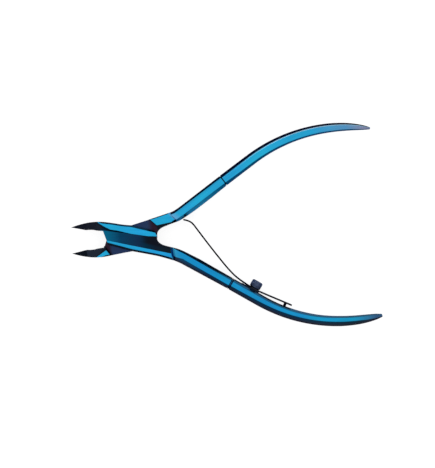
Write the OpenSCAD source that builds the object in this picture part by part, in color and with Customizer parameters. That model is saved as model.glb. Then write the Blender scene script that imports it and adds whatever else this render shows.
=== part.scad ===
// Slim lap-joint nippers with two crossing halves and one leaf spring.
// The tool lies flat: +Z is the pivot axis, +X runs from the pivot to the handles.
// The origin is on the pivot axis, at the flat back face of the joint.
// Each half is drawn about the middle plane of the joint; the rear half is a like forging
// turned half a turn about X.

/* [Joint] */
// Thickness of the joint, both lap plates together
joint_t = 6.4; // [6:0.1:7]
// Running gap between the two lap faces
lap_gap = 0.06; // [0.04:0.01:0.1]
// Half the width of the joint at the pivot
waist = 4.55; // [4.3:0.05:4.8]
// Depth of the sloping panel sunk into the front face
panel_depth = 0.45; // [0.2:0.05:0.6]

/* [Jaws] */
// Distance from the pivot axis to the jaw tips
jaw_reach = 21.75; // [20.5:0.05:22]
// Angle of each cutting edge from the middle line, as the tool stands open
jaw_open = 12.15; // [11.5:0.05:13]
// Angle by which both jaws lean towards the front half's side of the middle line
jaw_lean = 1.6; // [0:0.1:2]
// Length of each cutting edge
blade_len = 5.3; // [4:0.1:6]
// Slope of the ground face on the lap side of a jaw
jaw_slope_lap = 16; // [14:0.5:18]
// Slope of the ground face on the far side of a jaw
jaw_slope_far = 23; // [20:0.5:25]
// Slope of the sharpened bevels beside the cutting edge
edge_slope = 38; // [30:1:45]

/* [Handles] */
// Angle of each straight shank from the middle line
shank_angle = 33.55; // [32:0.05:35]
// Distance by which the shank's centre line passes the pivot axis
shank_offset = 3.35; // [3.1:0.05:3.6]
// Width of the handles seen from above
handle_w = 4.1; // [3.8:0.1:4.2]
// Thickness of the handles
handle_t = 5.6; // [5:0.1:5.8]
// Thickness of the handles just before their tips
tip_t = 2.8; // [2:0.1:3.4]
// Distance along the shank from the pivot to the seam of the grip
seam_at = 37.5; // [36:0.1:40]
// Distance along the shank from the pivot to the start of the bend
bend_at = 49.9; // [48:0.1:51]
// Radius of the bend in the grip
bend_r = 56; // [54:0.5:58]
// Angle that the grip turns through
bend_turn = 45.4; // [43:0.1:47]
// Amount by which the grip stands proud of the shank on the outer side
seam_step = 0.05; // [0.05:0.05:0.3]
// Width of the bevel along the outer edge of a handle
outer_bevel = 1.3; // [0.7:0.05:1.4]
// Width of the bevel along the inner edge of a handle
inner_bevel = 1; // [0.5:0.05:1.1]

/* [Pivot screw] */
// Diameter of the screw's plain shank, which the rear half turns on
pivot_d = 3.6; // [3:0.1:4]
// Diameter of the screw's thread, in the front half
pivot_thread_d = 3; // [2.6:0.1:3.2]
// Diameter of the slotted head
pivot_head_d = 5.2; // [4.6:0.1:5.6]
// Thickness of the slotted head
pivot_head_t = 1.1; // [0.9:0.05:1.3]
// Radial clearance of the shank and of the head
pivot_fit = 0.04; // [0.02:0.01:0.08]

/* [Leaf spring] */
// Thickness of the spring strip
spring_t = 0.55; // [0.45:0.05:0.6]
// Width of the spring strip
spring_w = 3.4; // [2.8:0.1:3.8]
// Height of the seat that the spring lies on
seat_h = 0.2; // [0.15:0.05:0.3]
// Distance along the shank from the pivot to the spring screw
screw_at = 45.9; // [45.5:0.1:46.3]
// Diameter of the spring screw's drum head
drum_d = 4; // [3.4:0.1:4.2]
// Height of the spring screw's drum head
drum_h = 2.7; // [2:0.05:3]
// Diameter of the spring screw's thread
spring_thread_d = 1.6; // [1.4:0.1:2]
// Diameter of the locating pin
locating_pin_d = 1; // [0.8:0.1:1.2]

/* [Hidden] */
$fn = 64;
half_t = joint_t / 2;
far = 30;
blue = [0.13, 0.52, 0.72];
blue_grey = [0.22, 0.27, 0.36];
near_black = [0.09, 0.09, 0.14];

// Tenon that joins a shank to its grip
tenon_r = 1;
tenon_len = 5;
tenon_fit = 0.02;

// Fits and depths of the screws and of the locating pin
thread_fit = 0.02;
thread_depth = 2.3;
thread_len = 2.2;
head_sink = 0.15;
head_floor = 0.05;
spring_thread_depth = 2.6;
spring_hole_fit = 0.05;
pin_fit = 0.01;
pin_hole_fit = 0.02;
pin_depth = 1.8;
end_gap = 0.1;

// Places on the handle, for the front half: its handle runs down and to the right
shank_dir = [cos(shank_angle), -sin(shank_angle)];
shank_in = [sin(shank_angle), cos(shank_angle)];
function on_shank(along, inward = 0) =
    shank_dir * along + shank_in * (shank_offset + inward);
bend_centre = on_shank(bend_at) + shank_in * bend_r;
function on_bend(turn, inward = 0) =
    bend_centre + (bend_r - inward) * [sin(turn - shank_angle), -cos(turn - shank_angle)];

// Smooth curve through a few points
function near(p, i) = p[max(0, min(len(p) - 1, i))];
function blend(a, b, c, d, t) =
    (2 * b + (c - a) * t + (2 * a - 5 * b + 4 * c - d) * t ^ 2
     + (3 * b - a - 3 * c + d) * t ^ 3) / 2;
function curve(p, steps) = concat(
    [for (i = [0 : len(p) - 2]) for (k = [0 : steps - 1])
        blend(near(p, i - 1), p[i], p[i + 1], near(p, i + 2), k / steps)],
    [p[len(p) - 1]]);
function reversed(p) = [for (i = [len(p) - 1 : -1 : 0]) p[i]];

// Place on the ray of the cutting edge
function on_edge(r) = r * [-cos(jaw_open), sin(jaw_open)];

// Outline of a half, from the jaw tip round the lap plate to the grip seam and back
front_outer_line = [[16.5, -9.93], [15, -9.14], [13.5, -8.48], [9, -6.89], [4.5, -5.7],
                    [0, -waist]];
rear_outer_line = [[17.4, -9.86], [16, -9.02], [14.8, -8.4], [13.4, -7.98], [9, -6.8],
                   [4.5, -5.66], [0, -waist]];
crotch_line = [[8.8, 0.3], [8.85, -1.1], [9.4, -2.1], [10.6, -3], [13, -3.85]];
front_inner_line = concat(crotch_line, [[15.2, -4.55], [17.2, -5.4],
                                        on_shank(20.5, handle_w / 2 - 0.2),
                                        on_shank(24, handle_w / 2)]);
rear_inner_line = concat(crotch_line, [[15.2, -4.5], [17.2, -5.15],
                                       on_shank(20.5, handle_w / 2 + 0.08),
                                       on_shank(24, handle_w / 2 + 0.22),
                                       on_shank(31, handle_w / 2 + 0.2)]);
jaw_back = [[0, waist], [-3, 4.95], [-6.5, 5.57], [-10, 6.12], [-13, 6.2], [-16, 5.9],
            [-19, 5.25], on_edge(jaw_reach)];
jaw_relief = [on_edge(jaw_reach - blade_len), [-14.8, 3.5], [-13.4, 3.42], [-11.8, 3.1],
              [-9.9, 2.88]];
plate_left = [[-8.55, -1], [-8.4, -1.75]];
lean_from = 1;
lean_over = 4;
function leaning(p, lean) =
    let (a = lean * min(1, max(0, (-p.x - lean_from) / lean_over)))
    [p.x * cos(a) - p.y * sin(a), p.x * sin(a) + p.y * cos(a)];
function outline(lean, outer_line, inner_line) = concat(
    curve([for (p = jaw_back) leaning(p, lean)], 4),
    curve([for (p = jaw_relief) leaning(p, lean)], 3),
    plate_left,
    reversed(curve(outer_line, 3)),
    [on_shank(seam_at, -handle_w / 2), on_shank(seam_at, handle_w / 2)],
    reversed(curve(inner_line, 3)),
    [[8, 2.1]]);

// Region that the other half's lap plate sweeps, cut out below the lap face
lap_region = [[-12, -0.95], [-6, 7.15], [11, 8], [9.9, -0.9], [9.42, -2.3], [8.97, -3.66],
              [7.18, -5.4], [4.6, -7.9], [-12, -7.9]];

// Everything above a plane: the plane holds the line through `at` along `heading`
// and climbs by `slope` degrees to the left of that line
module above_plane(at, heading, slope, reach = far, ahead = far, behind = far)
    translate(at)
        rotate([0, 0, heading])
            rotate([slope, 0, 0])
                translate([-behind, -reach, 0])
                    cube([ahead + behind, 2 * reach, far]);

module to_both_faces() {
    children();
    mirror([0, 0, 1])
        children();
}

// The ground faces of a jaw and the two bevels that meet in the cutting edge
edge_land = 0.03;
module jaw_grinding() {
    above_plane([-11.55, 5.95, half_t], -66.5, jaw_slope_lap, reach = 12);
    mirror([0, 0, 1])
        above_plane([-11.35, 5.4, half_t], -34, jaw_slope_far, reach = 11, ahead = 8, behind = 15);
    to_both_faces()
        above_plane(concat(on_edge(jaw_reach - blade_len / 2), [edge_land]), -jaw_open,
                    edge_slope, reach = 4, ahead = blade_len / 2, behind = blade_len);
}

// A step down from the joint to the shank, to the right of the line through `at`
step_slope = 45;
step_drop = half_t - handle_t / 2;
step_cut = 0.6;
module shank_step(at, heading) {
    above_plane(concat(at, [half_t]), heading, step_slope, reach = step_cut);
    translate(concat(at, [half_t - step_drop]))
        rotate([0, 0, heading])
            translate([-far / 2, -far - step_drop, 0])
                cube([far, far, far]);
}

// A bevel of the shank along a line of its flat face, on the right of the line
bevel_slope = 52;
module shank_bevel(line, beyond = 0) {
    run = line[1] - line[0];
    above_plane(concat(line[0], [handle_t / 2]), atan2(run.y, run.x), bevel_slope,
                reach = 3, behind = 0, ahead = norm(run) + beyond);
}

// The steps of the two faces, the groove before the step of the outer face, and the
// shank's long bevels with the short facets that lead them to the steps
outer_step_at = [14.25, -6.2];
outer_step_heading = 97;
lap_step_at = [14.9, -6];
lap_step_heading = 44.6;
bevel_from = 19;
outer_bevel_from = on_shank(bevel_from, outer_bevel - handle_w / 2);
outer_bevel_to = on_shank(seam_at + 1, outer_bevel - handle_w / 2);
inner_bevel_from = on_shank(bevel_from, handle_w / 2 - inner_bevel);
inner_bevel_to = on_shank(seam_at + 1, handle_w / 2 - inner_bevel);
outer_lead = [14.2, -7.3];
inner_lead = [14.8, -4.8];
lead_overrun = 0.4;
module shank_grinding() {
    shank_step(outer_step_at, outer_step_heading);
    above_plane(concat(outer_step_at, [half_t]), outer_step_heading + 180, step_slope,
                reach = step_cut);
    mirror([0, 0, 1])
        shank_step(lap_step_at, lap_step_heading);
    to_both_faces() {
        shank_bevel([outer_bevel_from, outer_bevel_to]);
        shank_bevel([outer_lead, outer_bevel_from], beyond = lead_overrun);
        shank_bevel([inner_bevel_to, inner_bevel_from]);
        shank_bevel([inner_bevel_from, inner_lead], beyond = lead_overrun);
    }
}

// The ground facet at the crotch, on the lap side, from the lap wall to the inner bevel
crotch_facet_from = [14.2, -4.72];
crotch_facet_to = [8.5, -3.87];
crotch_facet_slope = 34;
module crotch_grinding() {
    run = crotch_facet_to - crotch_facet_from;
    mirror([0, 0, 1])
        above_plane(concat(crotch_facet_from, [half_t]), atan2(run.y, run.x),
                    crotch_facet_slope, reach = 5, behind = 0.5, ahead = 8);
}

module half_forging(lean, outer_line, inner_line) {
    difference() {
        linear_extrude(joint_t, center = true)
            polygon(outline(lean, outer_line, inner_line));
        translate([0, 0, -far + lap_gap / 2])
            linear_extrude(far)
                polygon(lap_region);
        rotate([0, 0, lean])
            jaw_grinding();
        shank_grinding();
        crotch_grinding();
    }
    translate(concat(on_shank(seam_at - 1), [0]))
        rotate([0, 90, -shank_angle])
            cylinder(h = tenon_len + 1, r = tenon_r);
}

module place_front()
    translate([0, 0, half_t])
        children();

module place_rear()
    translate([0, 0, half_t])
        rotate([180, 0, 0])
            children();

// Sloping panel sunk into the front face: it falls from its straight lower edge to the
// foot of its curved upper wall
panel_low_edge = [[-8.67, -0.2], [13.6, -6.3]];
panel_wall = [[-12.2, 6], [-9.75, 4.3], [-7.4, 2.95], [-5, 2.45], [0, 1.55], [5.8, 0.35],
              [8.5, 0.1]];
panel_w = 4.2;
module front_panel() {
    rise = panel_low_edge[1] - panel_low_edge[0];
    intersection() {
        translate([0, 0, half_t - 1])
            linear_extrude(2)
                polygon(concat(panel_wall, [[11, 0], [11, -2], [14.2, -4.2], [13.9, -5.2],
                                            panel_low_edge[1], panel_low_edge[0], [-12, 0.7]]));
        above_plane(concat(panel_low_edge[0], [half_t]), atan2(rise.y, rise.x) + 180,
                    atan(panel_depth / panel_w));
    }
}

// Round hole or pin across a handle, from its inner side, at a distance along the shank
module across_handle(along, depth, r, proud = 0)
    translate(concat(on_shank(along, handle_w / 2 - depth), [0]))
        rotate([-90, 0, -shank_angle])
            cylinder(h = depth + proud, r = r);

module front_jaw()
    color(blue)
        place_front()
            difference() {
                half_forging(-jaw_lean, front_outer_line, front_inner_line);
                front_panel();
                cylinder(h = thread_depth + lap_gap / 2, r = pivot_thread_d / 2 + thread_fit);
            }

module rear_jaw()
    color(blue)
        place_rear()
            difference() {
                half_forging(jaw_lean, rear_outer_line, rear_inner_line);
                cylinder(h = far, r = pivot_d / 2 + pivot_fit);
                translate([0, 0, half_t - head_sink - pivot_head_t - head_floor])
                    cylinder(h = far, r = pivot_head_d / 2 + pivot_fit);
            }

// Grip: an eight-sided bar swept along the straight end of the shank and round the bend.
// Each ring is given by how far it lies past the seam; the lower grip swells inwards by its tip.
straight_len = bend_at - seam_at;
bend_len = bend_r * bend_turn * PI / 180;
grip_len = straight_len + bend_len;
widths = [[0, handle_w], [12.6, 4.05], [24.6, 3.8], [36.6, 3.42], [42.6, 3.2], [48.6, 2.72],
          [51.6, 2.25], [54.6, 1.6], [56.1, 1.05], [grip_len, 0.5]];
thicks = [[0, handle_t], [20.6, handle_t - 0.6], [40.6, tip_t + 1], [50.6, tip_t],
          [54.6, tip_t * 0.75], [grip_len, tip_t * 0.4]];
steps_out = [[0, seam_step], [20, 0]];
swell = [[24, 0], [34.5, 0.13], [38.5, 0.25], [42.5, 0.35], [50.5, 0.5], [55, 0.5],
         [grip_len, 0.3]];
stations = concat([for (i = [0 : 3]) straight_len * i / 4],
                  [for (i = [0 : 15]) straight_len + bend_len * i / 20],
                  [for (i = [33 : 40]) straight_len + bend_len * i / 40]);

function on_grip(s, inward) =
    s < straight_len
    ? on_shank(seam_at + s, inward)
    : on_bend((s - straight_len) / bend_r * 180 / PI, inward);

function grip_ring(s, swollen) =
    let (
        w = lookup(s, widths) / 2,
        t = lookup(s, thicks) / 2,
        out = w + lookup(s, steps_out),
        in = w + swollen * lookup(s, swell),
        scale_in = w * 2 / handle_w,
        b_out = outer_bevel * scale_in,
        b_in = inner_bevel * scale_in,
        section = [[-out, -t + 1.25 * b_out], [-out + b_out, -t], [in - b_in, -t],
                   [in, -t + 1.25 * b_in], [in, t - 1.25 * b_in], [in - b_in, t],
                   [-out + b_out, t], [-out, t - 1.25 * b_out]]
    )
    [for (q = section) concat(on_grip(s, q.x), [q.y])];

module grip_bar(swollen) {
    rings = [for (s = stations) grip_ring(s, swollen)];
    last = len(rings) - 1;
    polyhedron(
        points = [for (ring = rings) each ring],
        faces = concat(
            [for (k = [1 : 6]) [0, k, k + 1]],
            [for (k = [1 : 6]) [last * 8, last * 8 + k + 1, last * 8 + k]],
            [for (i = [0 : last - 1]) for (k = [0 : 7])
                let (n = (k + 1) % 8) [i * 8 + k, i * 8 + 8 + n, i * 8 + n]],
            [for (i = [0 : last - 1]) for (k = [0 : 7])
                let (n = (k + 1) % 8) [i * 8 + k, i * 8 + 8 + k, i * 8 + 8 + n]]));
}

module tenon_socket()
    translate(concat(on_shank(seam_at - 1), [0]))
        rotate([0, 90, -shank_angle])
            cylinder(h = tenon_len + 1.2, r = tenon_r + tenon_fit);

module grip(swollen = 0) {
    difference() {
        grip_bar(swollen);
        tenon_socket();
    }
}

module upper_grip()
    color(blue)
        place_rear()
            grip();

// The lower grip also carries the spring: a raised seat, a threaded hole and a pin hole
module lower_grip() {
    seat_from = 41.2;
    seat_to = 48;
    color(blue)
        place_front()
            difference() {
                union() {
                    grip(swollen = 1);
                    translate(concat(on_shank(seat_from, handle_w / 2 - 1), [-spring_w / 2]))
                        rotate([0, 0, -shank_angle])
                            cube([seat_to - seat_from, 1 + seat_h, spring_w]);
                }
                across_handle(screw_at, spring_thread_depth, spring_thread_d / 2 + thread_fit,
                              proud = 2);
                pin_axis()
                    translate([0, 0, -pin_depth])
                        cylinder(h = pin_depth + 2, r = locating_pin_d / 2 + pin_fit);
            }
}

// Slotted pivot screw: its head lies in the back face and its thread ends in the front half
module pivot_screw() {
    slot_w = 0.8;
    slot_depth = 0.5;
    rim = 0.2;
    color(blue_grey)
        difference() {
            union() {
                translate([0, 0, head_sink])
                    rotate_extrude()
                        polygon([[0, 0], [pivot_head_d / 2 - rim, 0], [pivot_head_d / 2, rim],
                                 [pivot_head_d / 2, pivot_head_t], [0, pivot_head_t]]);
                translate([0, 0, head_sink])
                    cylinder(h = half_t - head_sink, r = pivot_d / 2);
                translate([0, 0, half_t - 1])
                    cylinder(h = thread_len + 1, r = pivot_thread_d / 2);
            }
            translate([-pivot_head_d, -slot_w / 2, head_sink - 1])
                cube([2 * pivot_head_d, slot_w, slot_depth + 1]);
        }
}

// Leaf spring: a flat strip bent along this line, from its free tip to its tail
seat_at = handle_w / 2 + seat_h + spring_t / 2;
spring_tip_line = [[18.4, 5.33], [20.1, 4.75], [21.5, 3.75], [23.2, 1.3], [26, -2.95], [30, -8.8],
                   [33.2, -13.2], [36, -16.3]];
tail_start = on_shank(screw_at + 1.7, seat_at);
tail_end = [54.3, -27.15];
spring_seat_line = [on_shank(screw_at - 1.9, seat_at), on_shank(screw_at, seat_at), tail_start];
spring_line = concat(curve(concat(spring_tip_line, spring_seat_line), 3), [tail_end]);

function heading_at(p, i) =
    let (d = near(p, i + 1) - near(p, i - 1)) atan2(d.y, d.x);
function beside(p, i, off) =
    p[i] + off * [-sin(heading_at(p, i)), cos(heading_at(p, i))];

// Local frame at the locating pin: +Z stands out of the handle's inner side
pin_at = 0.82;
pin_foot = tail_start + pin_at * (tail_end - tail_start);
tail_heading = atan2(tail_end.y - tail_start.y, tail_end.x - tail_start.x);
pin_gap = 0.55 + spring_t / 2;
module pin_axis()
    translate(concat(pin_foot - pin_gap * [-sin(tail_heading), cos(tail_heading)], [0]))
        rotate([-90, 0, tail_heading])
            children();

module leaf_spring() {
    last = len(spring_line) - 1;
    color(near_black)
        place_front()
            difference() {
                linear_extrude(spring_w, center = true)
                    polygon(concat(
                        [for (i = [0 : last]) beside(spring_line, i, spring_t / 2)],
                        [for (i = [last : -1 : 0]) beside(spring_line, i, -spring_t / 2)]));
                across_handle(screw_at, 0, spring_thread_d / 2 + spring_hole_fit, proud = 2);
                pin_axis()
                    cylinder(h = 3, r = locating_pin_d / 2 + pin_hole_fit);
            }
}

// Drum-headed screw that clamps the spring to its seat
module spring_screw() {
    drum_base = seat_h + spring_t;
    rim = 0.2;
    slot_w = 0.6;
    slot_depth = 0.7;
    color(blue_grey)
        place_front()
            translate(concat(on_shank(screw_at, handle_w / 2), [0]))
                rotate([-90, 0, -shank_angle])
                    difference() {
                        union() {
                            translate([0, 0, drum_base])
                                rotate_extrude()
                                    polygon([[0, 0], [drum_d / 2 - rim, 0], [drum_d / 2, rim],
                                             [drum_d / 2, drum_h - rim],
                                             [drum_d / 2 - rim, drum_h], [0, drum_h]]);
                            translate([0, 0, end_gap - spring_thread_depth])
                                cylinder(h = spring_thread_depth + 1, r = spring_thread_d / 2);
                        }
                        translate([-drum_d, -slot_w / 2, drum_base + drum_h - slot_depth])
                            cube([2 * drum_d, slot_w, drum_h]);
                    }
}

module locating_pin()
    color(near_black)
        place_front()
            pin_axis()
                translate([0, 0, end_gap - pin_depth])
                    cylinder(h = pin_depth + pin_gap + spring_t / 2 - end_gap,
                             r = locating_pin_d / 2);

front_jaw();
rear_jaw();
lower_grip();
upper_grip();
pivot_screw();
leaf_spring();
spring_screw();
locating_pin();
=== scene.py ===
"""Looks of slim lap-joint nippers in blue coated steel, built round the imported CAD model.

Everything is in metres in the CAD frame: +Z is the pivot axis, +X runs from the pivot to the
handles and z = 0 is the flat back face of the joint. Each half is described about the middle
plane of the joint, as the CAD describes it, and PLACE_FRONT or PLACE_REAR puts it in its place.
"""

import math

import bmesh
import bpy
import numpy as np
from mathutils import Matrix, Vector


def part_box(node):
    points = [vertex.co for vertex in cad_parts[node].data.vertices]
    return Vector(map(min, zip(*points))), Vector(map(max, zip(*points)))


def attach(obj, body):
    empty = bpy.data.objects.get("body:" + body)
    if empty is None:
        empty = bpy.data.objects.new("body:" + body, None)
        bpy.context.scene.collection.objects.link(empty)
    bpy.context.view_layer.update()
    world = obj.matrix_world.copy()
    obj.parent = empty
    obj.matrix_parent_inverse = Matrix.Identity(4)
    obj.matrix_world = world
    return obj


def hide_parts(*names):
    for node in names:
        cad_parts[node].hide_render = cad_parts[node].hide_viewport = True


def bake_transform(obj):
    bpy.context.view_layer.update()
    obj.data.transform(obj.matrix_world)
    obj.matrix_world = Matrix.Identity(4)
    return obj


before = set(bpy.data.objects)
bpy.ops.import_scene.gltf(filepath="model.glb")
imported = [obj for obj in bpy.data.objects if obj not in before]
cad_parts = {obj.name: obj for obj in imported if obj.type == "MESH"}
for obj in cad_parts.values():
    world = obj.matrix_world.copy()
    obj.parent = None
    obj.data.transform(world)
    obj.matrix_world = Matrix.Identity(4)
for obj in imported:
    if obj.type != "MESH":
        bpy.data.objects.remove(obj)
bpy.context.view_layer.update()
MM = 0.001

# Driving dimensions of the handles, in millimetres, as in the CAD
HALF_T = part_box("front_jaw")[1].z / MM / 2
SHANK_ANGLE = math.radians(33.55)
SHANK_OFFSET = 3.35
HANDLE_W = 4.1
HANDLE_T = 5.6
TIP_T = 2.8
SEAM_AT = 37.5
BEND_AT = 49.9
BEND_R = 56.0
BEND_TURN = math.radians(45.4)
SEAM_STEP = 0.05
OUTER_BEVEL = 1.3
INNER_BEVEL = 1.0

# Finish of the edges, in millimetres: the width of the painted dark reflection along the outer
# bevel on the shank and on the grip, the chamfers of the joint's outline on its own face and on
# the far side, and the small bevel that breaks every other sharp edge
RIM_BAND = 0.82
GRIP_RIM = 0.98
LOWER_CHAMFER = 0.72
UPPER_CHAMFER = 0.6
FAR_LOWER_CHAMFER = 0.3
FAR_UPPER_CHAMFER = 0.45
EDGE_BREAK = 0.09
SHORTEST_BROKEN_EDGE = 0.12

# Spring, its screw and the locating pin, in millimetres
SPRING_T = 0.55
SPRING_W = 3.4
SEAT_H = 0.2
SEAT_FROM = 41.2
SEAT_TO = 48.0
SCREW_AT = 45.9
DRUM_D = 4.0
DRUM_H = 2.7
DRUM_SLOT_W = 0.6
DRUM_SLOT_DEPTH = 0.7
PIN_D = 1.0
PIN_GAP = 0.55

# Pivot screw, in millimetres
PIVOT_D = 3.6
PIVOT_THREAD_D = 3.0
PIVOT_HEAD_T = 1.1
PIVOT_SLOT_W = 0.8
PIVOT_SLOT_DEPTH = 0.5

# Grips: wear of the coating along them and at their tips, and the angle that stays smooth
GRIP_WEAR = 0.15
TIP_WEAR = 1.0
TIP_WEAR_LEN = 1.5
GRIP_SMOOTH_DEG = 38

STRAIGHT_LEN = BEND_AT - SEAM_AT
GRIP_LEN = STRAIGHT_LEN + BEND_R * BEND_TURN


def srgb(red, green, blue):
    """Linear colour of an sRGB colour given from 0 to 255."""
    def linear(v):
        v /= 255
        return v / 12.92 if v <= 0.04045 else ((v + 0.055) / 1.055) ** 2.4
    return (linear(red), linear(green), linear(blue), 1.0)


def blend_colour(a, b, t):
    """Colour a turning to colour b as t goes from 0 to 1."""
    t = min(1.0, max(0.0, t))
    return tuple(x + (y - x) * t for x, y in zip(a, b))


# Colours of the blue coating with painted reflections: bright blue on the flats, and lighter or
# darker tones on bevels, walls, steps and recesses for how each face is turned to the light,
# as painted highlights and painted shade
BRIGHT = srgb(36, 158, 212)
HANDLE_BLUE = srgb(26, 146, 196)
LAP_SIDE_BLUE = srgb(38, 160, 208)
STEP_BLUE = srgb(50, 158, 196)
STEP_LILAC = srgb(98, 164, 212)
PALE_BLUE = srgb(50, 146, 188)
PALE_LAVENDER = srgb(166, 208, 236)
TIP_BLUE = srgb(52, 92, 134)
LAVENDER = srgb(82, 144, 194)
LILAC = srgb(128, 132, 168)
SIDE_BLUE = srgb(26, 122, 172)
NAVY = srgb(14, 70, 106)
STRIP_BLUE = srgb(24, 92, 146)
BAND_BLACK = srgb(46, 40, 46)
BAND_NAVY = srgb(18, 52, 74)
SHANK_NAVY = srgb(26, 76, 104)
INNER_NAVY = srgb(34, 102, 138)
INNER_EDGE = srgb(58, 88, 108)
RIM_TEAL = srgb(22, 52, 74)
INNER_SIDE = srgb(26, 96, 140)
JOINT_SIDE = srgb(24, 104, 150)
DEEP_NAVY = srgb(12, 34, 62)
GROOVE_BLUE = srgb(24, 82, 130)
TEAL = srgb(42, 120, 164)
RIM_BLACK = srgb(20, 28, 42)
JAW_BLACK = srgb(30, 34, 45)
LAP_JAW_BLACK = srgb(22, 26, 36)
CROTCH_BLACK = srgb(24, 32, 42)
LAP_NAVY = srgb(38, 52, 86)
LAP_PLUM = srgb(44, 30, 44)

# Tint of the coated steel where it is seen at a grazing angle
EDGE_TINT = (0.04, 0.12, 0.24, 1)
FLOOR_GLOW = 0.87


# ---------------------------------------------------------------- places on a half

def shank_dir():
    """Heading of the shank, away from the pivot."""
    return np.array([math.cos(SHANK_ANGLE), -math.sin(SHANK_ANGLE)])


def shank_in():
    """Direction across the shank, towards the other handle."""
    return np.array([math.sin(SHANK_ANGLE), math.cos(SHANK_ANGLE)])


def on_shank(along, inward=0.0):
    """Place at a distance along the shank and inward of its centre line."""
    return shank_dir() * along + shank_in() * (SHANK_OFFSET + inward)


def on_grip(s, inward=0.0):
    """Place s millimetres past the seam, on the straight and then round the bend."""
    if s < STRAIGHT_LEN:
        return on_shank(SEAM_AT + s, inward)
    centre = on_shank(BEND_AT) + shank_in() * BEND_R
    a = (s - STRAIGHT_LEN) / BEND_R - SHANK_ANGLE
    return centre + (BEND_R - inward) * np.array([math.sin(a), -math.cos(a)])


def unbend(p):
    """Distance past the seam and distance inward of a place on a handle, in millimetres."""
    q = np.array([p.x, p.y])
    centre = on_shank(BEND_AT) + shank_in() * BEND_R
    along = float(q @ shank_dir())
    if along < BEND_AT:
        return along - SEAM_AT, float(q @ shank_in()) - SHANK_OFFSET
    d = q - centre
    turned = math.atan2(d[0], -d[1]) + SHANK_ANGLE
    return STRAIGHT_LEN + turned * BEND_R, BEND_R - float(np.linalg.norm(d))


def on_axes(p):
    """Distance along the shank from the pivot and inward of its centre line, in millimetres."""
    along = p.x * shank_dir()[0] + p.y * shank_dir()[1]
    inward = p.x * shank_in()[0] + p.y * shank_in()[1] - SHANK_OFFSET
    return along, inward


PLACE_FRONT = Matrix.Translation((0, 0, HALF_T * MM))
PLACE_REAR = PLACE_FRONT @ Matrix.Rotation(math.pi, 4, "X")


# ---------------------------------------------------------------- mesh helpers

def mark_sharp(bm, smooth_deg):
    """Smooth where the surface turns by less than an angle, and sharp elsewhere."""
    limit = math.radians(smooth_deg)
    for f in bm.faces:
        f.smooth = True
    for e in bm.edges:
        e.smooth = not (e.is_manifold and e.calc_face_angle(0) > limit)


def weight_normals(ob):
    """Large faces decide the shading, so that the flats stay flat beside small bevels."""
    weighted = ob.modifiers.new("face_weighted_normals", "WEIGHTED_NORMAL")
    weighted.keep_sharp = True


def plain_object(name, bm):
    """Object from a bmesh as it is, which frees the bmesh."""
    me = bpy.data.meshes.new(name)
    bm.to_mesh(me)
    bm.free()
    ob = bpy.data.objects.new(name, me)
    bpy.context.scene.collection.objects.link(ob)
    return ob


def new_object(name, bm, smooth_deg=32):
    """Object from a bmesh, with its sharp edges marked and its normals weighted."""
    bmesh.ops.recalc_face_normals(bm, faces=bm.faces)
    mark_sharp(bm, smooth_deg)
    ob = plain_object(name, bm)
    weight_normals(ob)
    return ob


def shade_again(ob, smooth_deg):
    """Marks the sharp edges of a changed mesh and weights its normals."""
    bm = bmesh.new()
    bm.from_mesh(ob.data)
    mark_sharp(bm, smooth_deg)
    bm.to_mesh(ob.data)
    bm.free()
    weight_normals(ob)


def store_vectors(me, name, values):
    """Corner vectors under an attribute name, for the grain of the finish."""
    layer = me.attributes.new(name, "FLOAT_VECTOR", "CORNER")
    layer.data.foreach_set("vector", np.asarray(values, np.float32).ravel())


def store_colours(me, name, values):
    """Corner colours under an attribute name."""
    layer = me.attributes.new(name, "FLOAT_COLOR", "CORNER")
    layer.data.foreach_set("color", np.asarray(values, np.float32).ravel())


def rounded(corners, radius, steps):
    """Points of a closed 2D section with each corner rounded in a number of steps."""
    points = []
    n = len(corners)
    for i in range(n):
        p = np.array(corners[i], float)
        before = np.array(corners[i - 1], float) - p
        after = np.array(corners[(i + 1) % n], float) - p
        reach = min(radius, 0.42 * np.linalg.norm(before), 0.42 * np.linalg.norm(after))
        a = p + before / np.linalg.norm(before) * reach
        b = p + after / np.linalg.norm(after) * reach
        for k in range(steps + 1):
            t = k / steps
            points.append((1 - t) ** 2 * a + 2 * t * (1 - t) * p + t * t * b)
    return points


def skin(bm, rings):
    """Faces between closed rings that have the same number of vertices."""
    count = len(rings[0])
    for r0, r1 in zip(rings, rings[1:]):
        for k in range(count):
            n = (k + 1) % count
            bm.faces.new((r0[k], r0[n], r1[n], r1[k]))


def lathe(bm, profile, segments, matrix, knurl=None):
    """Closed solid of revolution about +Z; profile is (radius, height) from axis to axis.
    knurl gives the depth of the surface at a height and a segment's number."""
    rings = []
    for r, z in profile:
        if r < 1e-6:
            rings.append([bm.verts.new(matrix @ Vector((0, 0, z * MM)))])
            continue
        ring = []
        for k in range(segments):
            a = 2 * math.pi * k / segments
            rr = r - (knurl(z, k) if knurl else 0)
            ring.append(bm.verts.new(matrix @ Vector(
                (rr * math.cos(a) * MM, rr * math.sin(a) * MM, z * MM))))
        rings.append(ring)
    for lower, upper in zip(rings, rings[1:]):
        for k in range(segments):
            n = (k + 1) % segments
            if len(lower) == 1:
                bm.faces.new((lower[0], upper[n], upper[k]))
            elif len(upper) == 1:
                bm.faces.new((lower[k], lower[n], upper[0]))
            else:
                bm.faces.new((lower[k], lower[n], upper[n], upper[k]))


def cut(ob, cutter_bm, name="slot"):
    """Cuts a slot out of an object with an exact boolean, and leaves the plain result."""
    tool = plain_object(name, cutter_bm)
    boolean = ob.modifiers.new(name, "BOOLEAN")
    boolean.operation = "DIFFERENCE"
    boolean.solver = "EXACT"
    boolean.object = tool
    apply_modifiers(ob)
    bpy.data.objects.remove(tool)


def apply_modifiers(ob):
    """Gives an object the mesh that its modifiers make, and removes them."""
    depsgraph = bpy.context.evaluated_depsgraph_get()
    depsgraph.update()
    made = bpy.data.meshes.new_from_object(ob.evaluated_get(depsgraph))
    ob.modifiers.clear()
    ob.data = made


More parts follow.
